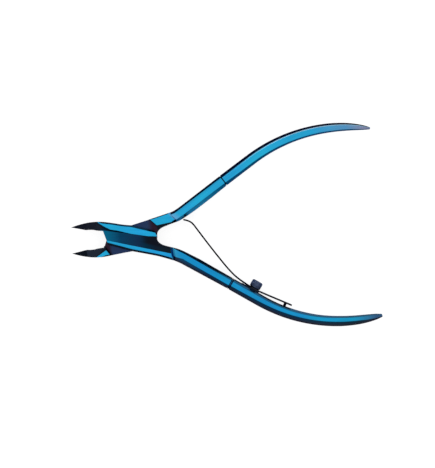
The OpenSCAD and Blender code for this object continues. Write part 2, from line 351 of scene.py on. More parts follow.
def box_bm(low, high, matrix):
    """Box between two corners in millimetres, placed by a matrix."""
    bm = bmesh.new()
    bmesh.ops.create_cube(bm, size=1)
    low, high = Vector(low), Vector(high)
    size = high - low
    bm.transform(matrix @ Matrix.Translation((low + high) / 2 * MM)
                 @ Matrix.Diagonal((*(size * MM), 1)))
    return bm


# ---------------------------------------------------------------- materials

def node_tree(name):
    """New material with one Principled shader, and its node tree."""
    mat = bpy.data.materials.new(name)
    mat.use_nodes = True
    nt = mat.node_tree
    nt.nodes.clear()
    out = nt.nodes.new("ShaderNodeOutputMaterial")
    bsdf = nt.nodes.new("ShaderNodeBsdfPrincipled")
    nt.links.new(bsdf.outputs[0], out.inputs[0])
    return mat, nt, bsdf


def noise(nt, vector, scale, detail, rough=0.55):
    """Noise texture along a vector socket."""
    node = nt.nodes.new("ShaderNodeTexNoise")
    node.inputs["Scale"].default_value = scale
    node.inputs["Detail"].default_value = detail
    node.inputs["Roughness"].default_value = rough
    nt.links.new(vector, node.inputs["Vector"])
    return node.outputs["Fac"]


def spread(nt, value, low, high, to_low=0.0, to_high=1.0):
    """Maps a socket from low and high to to_low and to_high, and keeps it between them."""
    node = nt.nodes.new("ShaderNodeMapRange")
    node.inputs["From Min"].default_value = low
    node.inputs["From Max"].default_value = high
    node.inputs["To Min"].default_value = to_low
    node.inputs["To Max"].default_value = to_high
    nt.links.new(value, node.inputs["Value"])
    return node.outputs["Result"]


def scaled(nt, vector, by):
    """Vector socket scaled by a factor for each axis."""
    node = nt.nodes.new("ShaderNodeMapping")
    node.inputs["Scale"].default_value = by
    nt.links.new(vector, node.inputs["Vector"])
    return node.outputs["Vector"]


def feed(nt, socket, value):
    """Links a socket to an input, or sets a constant on it."""
    if isinstance(value, bpy.types.NodeSocket):
        nt.links.new(value, socket)
    else:
        socket.default_value = value


def mixed(nt, factor, a, b):
    """Colour a mixed with colour b; the factor, a and b are sockets or constants."""
    node = nt.nodes.new("ShaderNodeMix")
    node.data_type = "RGBA"
    for socket, value in ((node.inputs[0], factor), (node.inputs[6], a), (node.inputs[7], b)):
        feed(nt, socket, value)
    return node.outputs[2]


def calc(nt, kind, *values):
    """Math node on sockets or constants."""
    node = nt.nodes.new("ShaderNodeMath")
    node.operation = kind
    for socket, value in zip(node.inputs, values):
        feed(nt, socket, value)
    return node.outputs[0]


def split_vector(nt, vector):
    """The X, Y and Z outputs of a vector socket."""
    node = nt.nodes.new("ShaderNodeSeparateXYZ")
    nt.links.new(vector, node.inputs[0])
    return node.outputs


def eased(nt, value, low, high):
    """Smooth step of a socket from 0 at low to 1 at high."""
    node = nt.nodes.new("ShaderNodeMapRange")
    node.interpolation_type = "SMOOTHSTEP"
    node.inputs["From Min"].default_value = low
    node.inputs["From Max"].default_value = high
    nt.links.new(value, node.inputs["Value"])
    return node.outputs["Result"]


def colour_ramp(nt, value, stops):
    """Colours at rising values of a socket, one stop for each."""
    low, high = stops[0][0], stops[-1][0]
    node = nt.nodes.new("ShaderNodeValToRGB")
    elements = node.color_ramp.elements
    while len(elements) < len(stops):
        elements.new(1.0)
    for element, (at, colour) in zip(elements, stops):
        element.position = (at - low) / (high - low)
        element.color = colour
    nt.links.new(spread(nt, value, low, high), node.inputs[0])
    return node.outputs["Color"]


def attribute(nt, name):
    """Node that reads a corner attribute of the mesh."""
    node = nt.nodes.new("ShaderNodeAttribute")
    node.attribute_name = name
    return node


def brushed(nt, bsdf, grain, rough_low, rough_high, bump):
    """Fine grinding lines along the grain, and soft smears of polish over them."""
    lines = noise(nt, scaled(nt, grain, (120, 5200, 5200)), 1.0, 3.0, 0.6)
    smears = noise(nt, scaled(nt, grain, (90, 260, 260)), 1.0, 3.0, 0.5)
    total = calc(nt, "MULTIPLY_ADD", lines, 0.45, smears)
    nt.links.new(spread(nt, total, 0.45, 1.0, rough_low, rough_high), bsdf.inputs["Roughness"])
    node = nt.nodes.new("ShaderNodeBump")
    node.inputs["Strength"].default_value = bump
    node.inputs["Distance"].default_value = 0.00002
    nt.links.new(lines, node.inputs["Height"])
    nt.links.new(node.outputs[0], bsdf.inputs["Normal"])
    return lines, smears


def panel_painted_reflection(nt, x, y):
    """The sunk panel's painted reflection: teal at the jaws, falling to near-black at the handles,
    darker at its upper end, with a painted shadow in a wedge under the wall.
    """
    base = colour_ramp(nt, x, [
        (-8.5, srgb(10, 92, 132)), (-6.0, srgb(12, 78, 116)), (-4.0, srgb(10, 60, 92)),
        (2.0, srgb(20, 46, 76)), (5.0, srgb(8, 42, 62)), (8.0, srgb(18, 32, 46)),
        (12.0, srgb(20, 30, 38))])
    low_edge_slope, wall_slope = 0.274, 0.18
    above_low_edge = calc(nt, "ADD", calc(nt, "MULTIPLY", x, low_edge_slope), y)
    upper = calc(nt, "MULTIPLY", eased(nt, above_low_edge, -1.5, -0.3), eased(nt, x, 2.5, 6.0))
    dark = mixed(nt, upper, base, srgb(18, 22, 32))
    # A painted shadow in a wedge under the wall at the jaw's end
    under_wall = calc(nt, "ADD", calc(nt, "MULTIPLY", x, wall_slope), y)
    painted_shadow_wedge = calc(nt, "MULTIPLY", eased(nt, under_wall, 1.45, 1.75), eased(nt, x, -4.0, -6.0))
    return mixed(nt, painted_shadow_wedge, dark, srgb(12, 30, 52))


def coated_steel():
    """Blue interference coating on ground steel, its corner colours carrying painted reflections,
    highlights and shade: the colour drifts a little with the film.
    """
    mat, nt, bsdf = node_tree("blue_coated_steel")
    grain = attribute(nt, "grain").outputs["Vector"]
    coat_with_painted_light = attribute(nt, "coat_with_painted_light").outputs["Color"]
    # The zone is 1 in X on the sunk panel, 1 in Y on the lap face, and in Z it is the wear
    zone = split_vector(nt, attribute(nt, "zone").outputs["Vector"])
    coord = nt.nodes.new("ShaderNodeTexCoord").outputs["Object"]
    place = split_vector(nt, coord)
    x = calc(nt, "MULTIPLY", place["X"], 1 / MM)
    y = calc(nt, "MULTIPLY", place["Y"], 1 / MM)
    # Over the corner colours: a painted reflection on the sunk panel, and painted shade on the lap
    # face
    coat_with_painted_light = mixed(nt, zone["X"], coat_with_painted_light, panel_painted_reflection(nt, x, y))
    lap = colour_ramp(nt, x, [(-8.2, LAP_PLUM), (-7.2, LAP_NAVY), (5.6, LAP_NAVY),
                              (7.4, LAP_PLUM)])
    coat_with_painted_light = mixed(nt, zone["Y"], coat_with_painted_light, lap)
    lines, smears = brushed(nt, bsdf, grain, 0.16, 0.32, 0.3)
    drift = spread(nt, noise(nt, coord, 60.0, 2.0), 0.35, 0.65)
    shifted = nt.nodes.new("ShaderNodeHueSaturation")
    nt.links.new(coat_with_painted_light, shifted.inputs["Color"])
    nt.links.new(spread(nt, drift, 0.0, 1.0, 0.49, 0.51), shifted.inputs["Hue"])
    strength = calc(nt, "MULTIPLY", spread(nt, smears, 0.3, 0.7, 0.92, 1.08),
                    spread(nt, lines, 0.3, 0.7, 0.9, 1.1))
    nt.links.new(strength, shifted.inputs["Value"])
    # Bare, worn steel shows in specks, mostly along edges
    specks = noise(nt, coord, 2600.0, 2.0, 0.6)
    worn = calc(nt, "MULTIPLY", zone["Z"], spread(nt, specks, 0.5, 0.74, 0.0, 0.35))
    nt.links.new(mixed(nt, worn, shifted.outputs[0], srgb(110, 136, 160)),
                 bsdf.inputs["Base Color"])
    bsdf.inputs["Metallic"].default_value = 1.0
    bsdf.inputs["Specular Tint"].default_value = EDGE_TINT
    return mat


def plain_steel(name, colour, tint, rough_low, rough_high):
    """Dark spring or screw steel with fine lines and soft colour clouds."""
    mat, nt, bsdf = node_tree(name)
    grain = attribute(nt, "grain").outputs["Vector"]
    coord = nt.nodes.new("ShaderNodeTexCoord").outputs["Object"]
    lines, _ = brushed(nt, bsdf, grain, rough_low, rough_high, 0.4)
    clouds = spread(nt, noise(nt, coord, 420.0, 3.0), 0.38, 0.66)
    base = mixed(nt, clouds, colour, tint)
    nt.links.new(mixed(nt, spread(nt, lines, 0.55, 0.8, 0.0, 0.12), base, srgb(140, 150, 168)),
                 bsdf.inputs["Base Color"])
    bsdf.inputs["Metallic"].default_value = 1.0
    bsdf.inputs["Specular Tint"].default_value = EDGE_TINT
    return mat


def floor_material():
    """Pale table top, lit a little from within so that only soft shadows show."""
    mat, nt, bsdf = node_tree("pale_floor")
    coord = nt.nodes.new("ShaderNodeTexCoord").outputs["Object"]
    mottle = spread(nt, noise(nt, coord, 9.0, 3.0), 0.3, 0.7)
    nt.links.new(mixed(nt, mottle, (0.29, 0.29, 0.29, 1), (0.3, 0.3, 0.3, 1)),
                 bsdf.inputs["Base Color"])
    bsdf.inputs["Roughness"].default_value = 0.8
    bsdf.inputs["Specular IOR Level"].default_value = 0.0
    bsdf.inputs["Emission Color"].default_value = (1, 1, 1, 1)
    bsdf.inputs["Emission Strength"].default_value = FLOOR_GLOW
    return mat


COATED = coated_steel()
SPRING_STEEL = plain_steel("dark_spring_steel", srgb(17, 18, 26), srgb(10, 11, 17), 0.24, 0.42)
SCREW_STEEL = plain_steel("blued_screw_steel", srgb(78, 90, 118), srgb(46, 56, 80), 0.2, 0.38)


# ---------------------------------------------------------------- forgings

def face_grain(bm, along_shank_from, inverse):
    """Grain vectors for every corner: along the tool at the joint, along the shank beyond."""
    values = []
    turn = Matrix.Rotation(SHANK_ANGLE, 4, "Z")
    for f in bm.faces:
        centre = inverse @ f.calc_center_median()
        on_the_shank = centre.x > along_shank_from
        for loop in f.loops:
            p = inverse @ loop.vert.co
            values.append(turn @ p if on_the_shank else p)
    return values


def left_of(p, a, b):
    """True if p lies left of the line from a to b, all in millimetres."""
    return (b[0] - a[0]) * (p[1] - a[1]) - (b[1] - a[1]) * (p[0] - a[0]) > 0


OUTER_STEP_AT = (14.25, -6.2)
OUTER_STEP_HEADING = math.radians(97)
LAP_STEP_AT = (14.9, -6.0)
LAP_STEP_HEADING = math.radians(44.6)
# A painted highlight next to a step fades over this length, from this distance past the step
HIGHLIGHT_FADE_LEN = 2.0
HIGHLIGHT_FADE_FROM = 0.4
FAR_PAST_STEP = 9.0

# Lines on a half from one place to another, and where its jaw and the jaw's tip begin
CROTCH_LINE = ((8.5, -3.6), (14.2, -6.2))
PANEL_END_LINE = ((-9.87, 2.64), (-11.87, 6.02))
LOWER_RIM_LINE = ((16.5, -8.3), (-8.9, -0.9))
JAWS_FROM = -8.5
TIPS_FROM = -16.2
# Edges this near the pivot axis belong to the bore and to the seat of the screw's head
BORE_REACH = 3.0
TENON_REACH = 1.1

# Zones whose colour the material works out, a painted reflection on the panel and painted shade
# on the lap, or that are coloured corner by corner
PANEL = "panel"
LAP = "lap"
HANDLE = "handle"


def past_step(p, outer):
    """Distance past the step of the outer face or of the lap side, in millimetres."""
    at, heading = (OUTER_STEP_AT, OUTER_STEP_HEADING) if outer else (LAP_STEP_AT, LAP_STEP_HEADING)
    return (p[0] - at[0]) * math.sin(heading) - (p[1] - at[1]) * math.cos(heading)


def rim_width(s):
    """Width of the dark rim, a painted reflection, along the outer edge of the lap side."""
    if s < 0:
        return RIM_BAND
    return GRIP_RIM * lookup(WIDTHS, s) / HANDLE_W


def handle_colour(s, inward, half_w, n, z, from_step=FAR_PAST_STEP):
    """Colour of the straight shank and of the grip, s being the distance past the seam: the
    coating's tones with painted reflections, highlights and shade for how each face is turned.
    """
    outer = z > 0
    from_step = (from_step - HIGHLIGHT_FADE_FROM) / HIGHLIGHT_FADE_LEN
    # Side walls: the inner wall darker than the outer one, as painted shade
    if abs(n.z) < 0.25:
        return SIDE_BLUE if inward < 0 else INNER_SIDE
    # Flats: lighter just past the step, a painted highlight that fades, and changing in tone along
    # the grip
    if abs(n.z) > 0.93:
        if outer:
            return blend_colour(blend_colour(STEP_BLUE, HANDLE_BLUE, from_step), TIP_BLUE,
                                (s - 46) / 8)
        flat = blend_colour(STEP_LILAC, LAP_SIDE_BLUE, from_step)
        return blend_colour(blend_colour(flat, LAVENDER, (s - 36) / 10), LILAC, (s - 48) / 6)
    # The outer edge's bevels: a painted dark reflection, and on the lap side a painted highlight
    # beyond its dark rim
    if inward < 0:
        if outer:
            inner_edge = blend_colour(SHANK_NAVY, BAND_NAVY, (s + 14) / 12)
            return blend_colour(BAND_BLACK, inner_edge, (inward + half_w - 0.5) / 0.9)
        if inward < rim_width(s) - half_w:
            return RIM_BLACK
        return blend_colour(PALE_BLUE, PALE_LAVENDER, (s - 5) / 33)
    # The inner edge's bevels: painted reflections in navy and teal
    if outer:
        return blend_colour(INNER_NAVY, INNER_EDGE, (inward - half_w + 0.9) / 0.8)
    return blend_colour(TEAL, NAVY, (s + 14) / 12)


def forging_colour(p, n, front):
    """Colour of a face of a half, from its place and normal about the middle plane: the coating's
    blue with painted reflections, highlights and shade for how the face is turned and where it
    lies.
    """
    flat = abs(n.z) > 0.999
    along, _ = on_axes(p)
    lengthwise = n.x * shank_dir()[0] + n.y * shank_dir()[1]
    # The sunk panel, to which the material gives a painted reflection
    if front and 0.985 < n.z < 0.9985 and not left_of(p, *PANEL_END_LINE):
        return PANEL
    # The lap faces, to which the material gives painted shade
    if flat and abs(p.z) < 0.5:
        return LAP
    # The jaws' sloping faces: a painted dark reflection, darker still on the far side as painted
    # shade
    if p.x < JAWS_FROM and not flat:
        return JAW_BLACK if p.z > 0 else LAP_JAW_BLACK
    # The step's faces: painted highlights, and painted shade on the outer groove's face that looks
    # back
    if along > 13 and abs(lengthwise) > 0.45 and abs(n.z) > 0.4:
        if p.z < 0:
            return STEP_LILAC
        return STEP_BLUE if lengthwise > 0 else GROOVE_BLUE
    if along > 14 and past_step(p, p.z > 0) > 0 and (
            abs(n.z) > 0.3 and abs(p.z) > 0.5 or along > 18):
        return HANDLE
    if flat:
        return BRIGHT
    # Painted shade on the chamfers in the crotch
    if p.x > 8.4 and abs(n.z) > 0.3 and left_of(p, *CROTCH_LINE):
        return CROTCH_BLACK
    # The outline's chamfers: a painted dark reflection, teal along the upper outline
    if abs(n.z) > 0.3:
        return RIM_TEAL if p.z > 0 and p.y > 2.3 and p.x < 7.6 else RIM_BLACK
    # Painted shade on the walls in the crotch
    if abs(p.z) < 2.4 and p.x > 7 and left_of(p, *CROTCH_LINE):
        return LAP_PLUM
    # Other walls: the ones facing inward darker, as painted shade
    return JOINT_SIDE if n.y * p.y > 0 else DEEP_NAVY


def on_outer_bevel(inverse, face):
    """True for the faces of the shank's outer bevel on the lap side."""
    p = inverse @ face.calc_center_median()
    n = (inverse.to_3x3() @ face.normal).normalized()
    along, inward = on_axes(p)
    return along > 16 and inward < 0 and -0.9 < n.z < -0.3


def forging(node, body, front):
    """A half's forging: the CAD's own faces with broken edges, chamfers, and coating colours with
    painted reflections, highlights and shade.
    """
    place = PLACE_FRONT if front else PLACE_REAR
    inverse = Matrix.Scale(1 / MM, 4) @ place.inverted()
    bm = bmesh.new()
    bm.from_mesh(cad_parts[node].data)
    bmesh.ops.remove_doubles(bm, verts=bm.verts, dist=1e-6)
    bmesh.ops.dissolve_limit(bm, angle_limit=math.radians(0.3), verts=bm.verts, edges=bm.edges)

    def outline_edges(wanted, side=1):
        """Edges of a face of the joint against its side walls, those that are wanted."""
        found = []
        for e in bm.edges:
            if not e.is_manifold or e.calc_face_angle(0) < math.radians(60):
                continue
            a, b = inverse @ e.verts[0].co, inverse @ e.verts[1].co
            if min(a.z * side, b.z * side) > HALF_T - 0.02 and wanted((a + b) / 2):
                found.append(e)
        return found

    def chamfer(edges, width):
        if edges:
            bmesh.ops.bevel(bm, geom=edges, offset=width * MM, offset_type="OFFSET", segments=1,
                            profile=0.5, affect="EDGES", clamp_overlap=False,
                            miter_outer="SHARP", miter_inner="SHARP")

    # Wider chamfer along the lower outline of the joint, narrow one along the upper outline
    chamfer(outline_edges(lambda m: left_of((m.x, m.y), *LOWER_RIM_LINE)
                          and m.y < -1.2 and -8.2 < m.x < 14.6), LOWER_CHAMFER)
    chamfer(outline_edges(lambda m: -10.5 < m.x < 7.6 and m.y > 2.3), UPPER_CHAMFER)
    # Narrow ones on the far side, where the other half's lap does not cover the outline
    chamfer(outline_edges(lambda m: 7 < m.x < 14.8 and m.y < -5, side=-1), FAR_LOWER_CHAMFER)
    chamfer(outline_edges(lambda m: -10.5 < m.x < -5 and m.y > 4.4, side=-1), FAR_UPPER_CHAMFER)

    def split(faces, at, across):
        """Splits the faces along an upright plane through a place, across a direction."""
        edges = list(dict.fromkeys(e for f in faces for e in f.edges))
        normal = (place.to_3x3() @ Vector((*across, 0))).normalized()
        bmesh.ops.bisect_plane(bm, geom=faces + edges, plane_co=place @ (Vector((*at, 0)) * MM),
                               plane_no=normal, dist=1e-7)

    # Split the outer bevel of the shank's lap side where its painted dark rim ends, and the flats
    # where the painted highlight past the step fades
    split([f for f in bm.faces if on_outer_bevel(inverse, f)],
          on_shank(0, RIM_BAND - HANDLE_W / 2), shank_in())
    on = np.array([math.sin(LAP_STEP_HEADING), -math.cos(LAP_STEP_HEADING)])
    highlight_fade_steps = 3
    for k in range(highlight_fade_steps + 1):
        beyond = [f for f in bm.faces if (inverse @ f.calc_center_median()).x > 12]
        split(beyond, np.array(LAP_STEP_AT) + on * (HIGHLIGHT_FADE_FROM + HIGHLIGHT_FADE_LEN * k / highlight_fade_steps), on)

    # Break the remaining sharp edges that show
    soft = []
    for e in bm.edges:
        if not e.is_manifold or e.calc_face_angle(0) < math.radians(18):
            continue
        a, b = inverse @ e.verts[0].co, inverse @ e.verts[1].co
        m = (a + b) / 2
        along, inward = on_axes(m)
        in_bore = max(math.hypot(a.x, a.y), math.hypot(b.x, b.y)) < BORE_REACH
        at_foot = along > SEAM_AT - 0.3 and max(abs(m.z), abs(inward)) < TENON_REACH
        on_tenon = along > SEAM_AT + 0.05 or at_foot
        at_tip = m.x < TIPS_FROM
        long_enough = e.calc_length() > SHORTEST_BROKEN_EDGE * MM
        if long_enough and not (in_bore or on_tenon or at_tip):
            soft.append(e)
    bmesh.ops.bevel(bm, geom=soft, offset=EDGE_BREAK * MM, offset_type="OFFSET", segments=2,
                    profile=0.5, affect="EDGES", clamp_overlap=True)
    bmesh.ops.remove_doubles(bm, verts=bm.verts, dist=5e-7)
    bmesh.ops.triangulate(bm, faces=[f for f in bm.faces if len(f.verts) > 4])
    bmesh.ops.recalc_face_normals(bm, faces=bm.faces)

    turn = inverse.to_3x3().normalized()
    colours, zones = [], []
    for f in bm.faces:
        centre = inverse @ f.calc_center_median()
        normal = (turn @ f.normal).normalized()
        colour = forging_colour(centre, normal, front)
        on_broken_edge = min(e.calc_length() for e in f.edges) < 0.00014 and f.calc_area() < 4e-7
        zone = (float(colour == PANEL), float(colour == LAP), float(on_broken_edge))
        for loop in f.loops:
            if colour == HANDLE:
                p = inverse @ loop.vert.co
                s, inward = unbend(p)
                side = inward if centre.z > 0 else unbend(centre)[1]
                colours.append(handle_colour(s, side, HANDLE_W / 2, normal, centre.z,
                                             past_step(p, centre.z > 0)))
            else:
                colours.append(JAW_BLACK if colour in (PANEL, LAP) else colour)
            zones.append(zone)
    grain = face_grain(bm, 14.0, inverse)
    ob = new_object(node + "_forged", bm)
    store_colours(ob.data, "coat_with_painted_light", colours)
    store_vectors(ob.data, "grain", np.array(grain) * MM)
    store_vectors(ob.data, "zone", zones)
    ob.data.materials.append(COATED)
    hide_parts(node)
    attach(ob, body)
    return ob


# ---------------------------------------------------------------- grips

# Sizes at a distance past the seam, all in millimetres. SWELL widens the lower grip inward.
# OUTER_FACE is the outer edge's bevel on the outer face, and INNER_LAP and INNER_FACE are the
# inner edge's bevels on the lap side and on the outer face.
WIDTHS = ((0, HANDLE_W), (12.6, 4.05), (24.6, 3.8), (36.6, 3.42), (42.6, 3.2), (48.6, 2.72),
          (51.6, 2.25), (54.6, 1.6), (56.1, 1.05), (GRIP_LEN, 0.5))
SWELL = ((24, 0), (34.5, 0.13), (38.5, 0.25), (42.5, 0.35), (50.5, 0.5), (55, 0.5),
         (GRIP_LEN, 0.3))
OUTER_FACE = ((0, 1.42), (8, 1.5), (16, 1.66), (40, 1.66), (48, 1.5), (GRIP_LEN, 0.3))
INNER_LAP = ((0, INNER_BEVEL), (6, 0.82), (22, 0.58), (30, 0.45), (50, 0.36), (GRIP_LEN, 0.12))
INNER_FACE = ((0, INNER_BEVEL), (22, 0.85), (38, 0.55), (50, 0.5), (GRIP_LEN, 0.12))
THICKS = ((0, HANDLE_T), (20.6, HANDLE_T - 0.6), (40.6, TIP_T + 1), (50.6, TIP_T),
          (54.6, TIP_T * 0.75), (GRIP_LEN, TIP_T * 0.4))


def lookup(table, s):
    """Value of a table at s, in straight lines between its rows."""
    return float(np.interp(s, [row[0] for row in table], [row[1] for row in table]))


def smooth_lookup(table, s):
    """lookup, with the corners of the table eased over 2.4 millimetres."""
    return float(np.mean([lookup(table, s + d) for d in (-1.2, -0.6, 0, 0.6, 1.2)]))


def half_widths(s, front):
    """Half the width of the grip at s, on its inner and on its outer side."""
    w = smooth_lookup(WIDTHS, s) / 2
    swell = smooth_lookup(SWELL, s) if front else 0.0
    return w + swell, w + SEAM_STEP * max(0.0, 1 - s / 20)


def grip_section(s, inset, front):
    """Rounded section at s, eight-sided with the lap side's outer bevel split at its rim."""
    w, out = half_widths(s, front)
    t = smooth_lookup(THICKS, s) / 2
    ratio = smooth_lookup(WIDTHS, s) / HANDLE_W
    in_lap = smooth_lookup(INNER_LAP, s)
    in_face = smooth_lookup(INNER_FACE, s)
    b_lap = OUTER_BEVEL * ratio
    b_face = min(smooth_lookup(OUTER_FACE, s), 0.46 * (w + out))
    drop = min(1.25 * b_face, 0.8 * t)
    drop_lap = min(1.25 * b_lap, 0.8 * t)
    rim = min(GRIP_RIM * ratio, 0.8 * b_lap)
    w, out, t = w - inset, out - inset, t - inset
    corners = [(-out, -t + drop_lap), (-out + rim, -t + drop_lap * (1 - 1.1 * rim / b_lap)),
               (-out + b_lap, -t), (w - in_lap, -t), (w, -t + 1.25 * in_lap),
               (w, t - 1.25 * in_face), (w - in_face, t), (-out + b_face, t), (-out, t - drop)]
    return rounded(corners, 0.24 * ratio + 0.04, 4)


def grip_stations(groove_at):
    """Distances past the seam of the rings, closer at the seam, at a groove and at the tip."""
    plain = list(np.arange(0.6, GRIP_LEN - 3.0, 0.6))
    start = [(0.0, 0.3), (0.2, 0.28), (0.3, 0.14), (0.4, 0.0)]
    if groove_at:
        start = [(0.0, 0.3), (0.12, 0.28), (0.2, 0.12), (0.28, 0.0)]
        plain = [s for s in plain if s > groove_at + 0.4]
        start += [(groove_at - 0.2, 0.0), (groove_at - 0.14, 0.14), (groove_at - 0.08, 0.24),
                  (groove_at + 0.08, 0.24), (groove_at + 0.14, 0.14), (groove_at + 0.2, 0.0)]
    rings = start + [(s, 0.0) for s in plain]
    for k in range(13):
        rings.append((GRIP_LEN - 3.0 + 2.75 * math.sin(k / 12 * math.pi / 2), 0.0))
    return rings


def grip_bmesh(front, groove_at):
    """Swept bar with a rounded tip."""
    bm = bmesh.new()
    rings = []
    for s, inset in grip_stations(groove_at):
        rings.append([bm.verts.new(Vector((*on_grip(s, q[0]), q[1])) * MM)
                      for q in grip_section(s, inset, front)])
    # The tip closes on a small dome
    last = rings[-1]
    centre = sum((v.co for v in last), Vector()) / len(last)
    ahead = Vector((*(on_grip(GRIP_LEN) - on_grip(GRIP_LEN - 0.1)), 0)).normalized()
    dome = 0.24 * MM
    for k in (1, 2, 3):
        a = k / 4 * math.pi / 2
        rings.append([
            bm.verts.new(centre + (v.co - centre) * math.cos(a) + ahead * dome * math.sin(a))
            for v in last])
    apex = bm.verts.new(centre + ahead * dome)
    skin(bm, rings)
    count = len(last)
    for k in range(count):
        bm.faces.new((rings[-1][k], rings[-1][(k + 1) % count], apex))
    bm.faces.new(list(reversed(rings[0])))
    return bm


def grip(node, body, front, groove_at):
    """A handle's grip; the front one also carries the spring's seat."""
    place = PLACE_FRONT if front else PLACE_REAR
    bm = grip_bmesh(front, groove_at)
    bm.transform(place)
    ob = new_object(node + "_forged", bm, GRIP_SMOOTH_DEG)
    if front:
        seat = box_bm((SEAT_FROM, SHANK_OFFSET + HANDLE_W / 2 - 1, -SPRING_W / 2),
                      (SEAT_TO, SHANK_OFFSET + HANDLE_W / 2 + SEAT_H, SPRING_W / 2),
                      place @ Matrix.Rotation(-SHANK_ANGLE, 4, "Z"))
        bmesh.ops.bevel(seat, geom=seat.edges, offset=0.12 * MM, segments=2, profile=0.5,
                        affect="EDGES")
        join_solid(ob, seat)
    inverse = Matrix.Scale(1 / MM, 4) @ place.inverted()
    turn = inverse.to_3x3().normalized()
    me = ob.data
    colours, grain, zones = [], [], []
    for poly in me.polygons:
        n = (turn @ poly.normal).normalized()
        centre = inverse @ poly.center
        middle, middle_in = unbend(centre)
        for i in poly.loop_indices:
            p = inverse @ me.vertices[me.loops[i].vertex_index].co
            s, inward = unbend(p)
            grain.append((s, inward, p.z))
            zones.append((0.0, 0.0, TIP_WEAR if s > GRIP_LEN - TIP_WEAR_LEN else GRIP_WEAR))
            if in_seam(middle, groove_at):
                colours.append(RIM_BLACK)
            elif groove_at and middle < groove_at and abs(n.z) > 0.93:
                colours.append(STRIP_BLUE)
            elif on_seat(middle, middle_in, centre.z, n):
                colours.append(RIM_BLACK)
            else:
                # The coating's tones, with the painted reflections, highlights and shade that
                # handle_colour gives
                side = inward if abs(n.z) > 0.3 and centre.z > 0 else middle_in
                half_w = half_widths(s, front)[0 if side > 0 else 1]
                colours.append(handle_colour(s, side, half_w, n, centre.z))
    store_colours(me, "coat_with_painted_light", colours)
    store_vectors(me, "grain", np.array(grain) * MM)
    store_vectors(me, "zone", zones)
    me.materials.clear()
    me.materials.append(COATED)
    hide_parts(node)
    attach(ob, body)
    return ob


def on_seat(s, inward, z, n):
    """True on the seat of the spring, which stands out of the lower grip's inner wall."""
    beside = SEAT_FROM - 0.3 < s + SEAM_AT < SEAT_TO + 0.3 and inward > 0.5
    proud = inward > half_widths(s, True)[0] + 0.01
    return beside and (proud or (abs(z) < SPRING_W / 2 + 0.05 and abs(n.z) > 0.3))


def in_seam(s, groove_at):
    """True at the grip's end face and in the groove beside it."""
    return s < (0.24 if groove_at else 0.36) or (groove_at and abs(s - groove_at) < 0.19)


def join_solid(ob, other_bm):
    """Unites another closed solid with an object, exactly."""
    tool = plain_object("joined", other_bm)
    union = ob.modifiers.new("union", "BOOLEAN")
    union.operation = "UNION"
    union.solver = "EXACT"
    union.object = tool
    bpy.context.view_layer.update()
    ob.modifiers.move(len(ob.modifiers) - 1, 0)
    ob.modifiers["face_weighted_normals"].show_viewport = False
    apply_modifiers(ob)
    bpy.data.objects.remove(tool)
    shade_again(ob, GRIP_SMOOTH_DEG)


# ---------------------------------------------------------------- spring

def catmull(points, steps):
    """Points of a smooth curve through the given points, some for each stretch."""
    made = []
    n = len(points)
    for i in range(n - 1):
        a, b, c, d = (np.array(points[max(0, min(n - 1, j))], float)
                      for j in (i - 1, i, i + 1, i + 2))
        for k in range(steps):
            t = k / steps
            made.append((2 * b + (c - a) * t + (2 * a - 5 * b + 4 * c - d) * t ** 2
                         + (3 * b - a - 3 * c + d) * t ** 3) / 2)
    made.append(np.array(points[-1], float))
    return made


SEAT_AT = HANDLE_W / 2 + SEAT_H + SPRING_T / 2
SPRING_ROUTE = [(18.4, 5.33), (20.1, 4.75), (21.5, 3.75), (23.2, 1.3), (26, -2.95), (30, -8.8),
                (33.2, -13.2), (36, -16.3)]
TAIL_END = np.array((54.3, -27.15))
TAIL_START = on_shank(SCREW_AT + 1.7, SEAT_AT)
PIN_AT = 0.82


def leaf_spring():
    """Flat strip with rounded edges along the CAD's centre line, its tail straight."""
    route = catmull(SPRING_ROUTE + [tuple(on_shank(SCREW_AT - 1.9, SEAT_AT)),
                                    tuple(on_shank(SCREW_AT, SEAT_AT)), tuple(TAIL_START)], 8)
    tail_steps = 14
    route += [TAIL_START + (TAIL_END - TAIL_START) * k / tail_steps
              for k in range(1, tail_steps + 1)]
    # Each end is smaller by a rim's width, and the full section starts a rim's width from it
    rim = 0.1
    for end, nearby, at in ((0, 1, 1), (-1, -2, len(route) - 1)):
        step = route[nearby] - route[end]
        route.insert(at, route[end] + step / np.linalg.norm(step) * rim)
    t, w = SPRING_T / 2, SPRING_W / 2
    corners = [(-t, -w), (t, -w), (t, w), (-t, w)]
    bm = bmesh.new()
    rings, distance, travelled = [], [], 0.0
    count = len(route)
    ends = {0: rim, count - 1: rim}
    for i, p in enumerate(route):
        d = route[min(count - 1, i + 1)] - route[max(0, i - 1)]
        d = d / np.linalg.norm(d)
        across = np.array([-d[1], d[0]])
        if i:
            travelled += float(np.linalg.norm(p - route[i - 1]))
        inset = ends.get(i, 0.0)
        section = rounded([(a - math.copysign(inset, a), b - math.copysign(inset, b))
                           for a, b in corners], 0.16, 4)
        rings.append([bm.verts.new(PLACE_FRONT @ (Vector((*(p + across * q[0]), q[1])) * MM))
                      for q in section])
        distance.append(travelled)
    skin(bm, rings)
    bm.faces.new(list(reversed(rings[0])))
    bm.faces.new(rings[-1])
    bm.verts.index_update()
    along = {}
    for ring, s in zip(rings, distance):
        for v in ring:
            along[v.index] = s
    ob = new_object("leaf_spring_strip", bm)
    grain = [(along[loop.vertex_index] * MM, 0.0, ob.data.vertices[loop.vertex_index].co.z)
             for loop in ob.data.loops]
    store_vectors(ob.data, "grain", grain)
    ob.data.materials.append(SPRING_STEEL)
    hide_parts("leaf_spring")
    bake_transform(ob)
    return ob


# ---------------------------------------------------------------- screws and pin

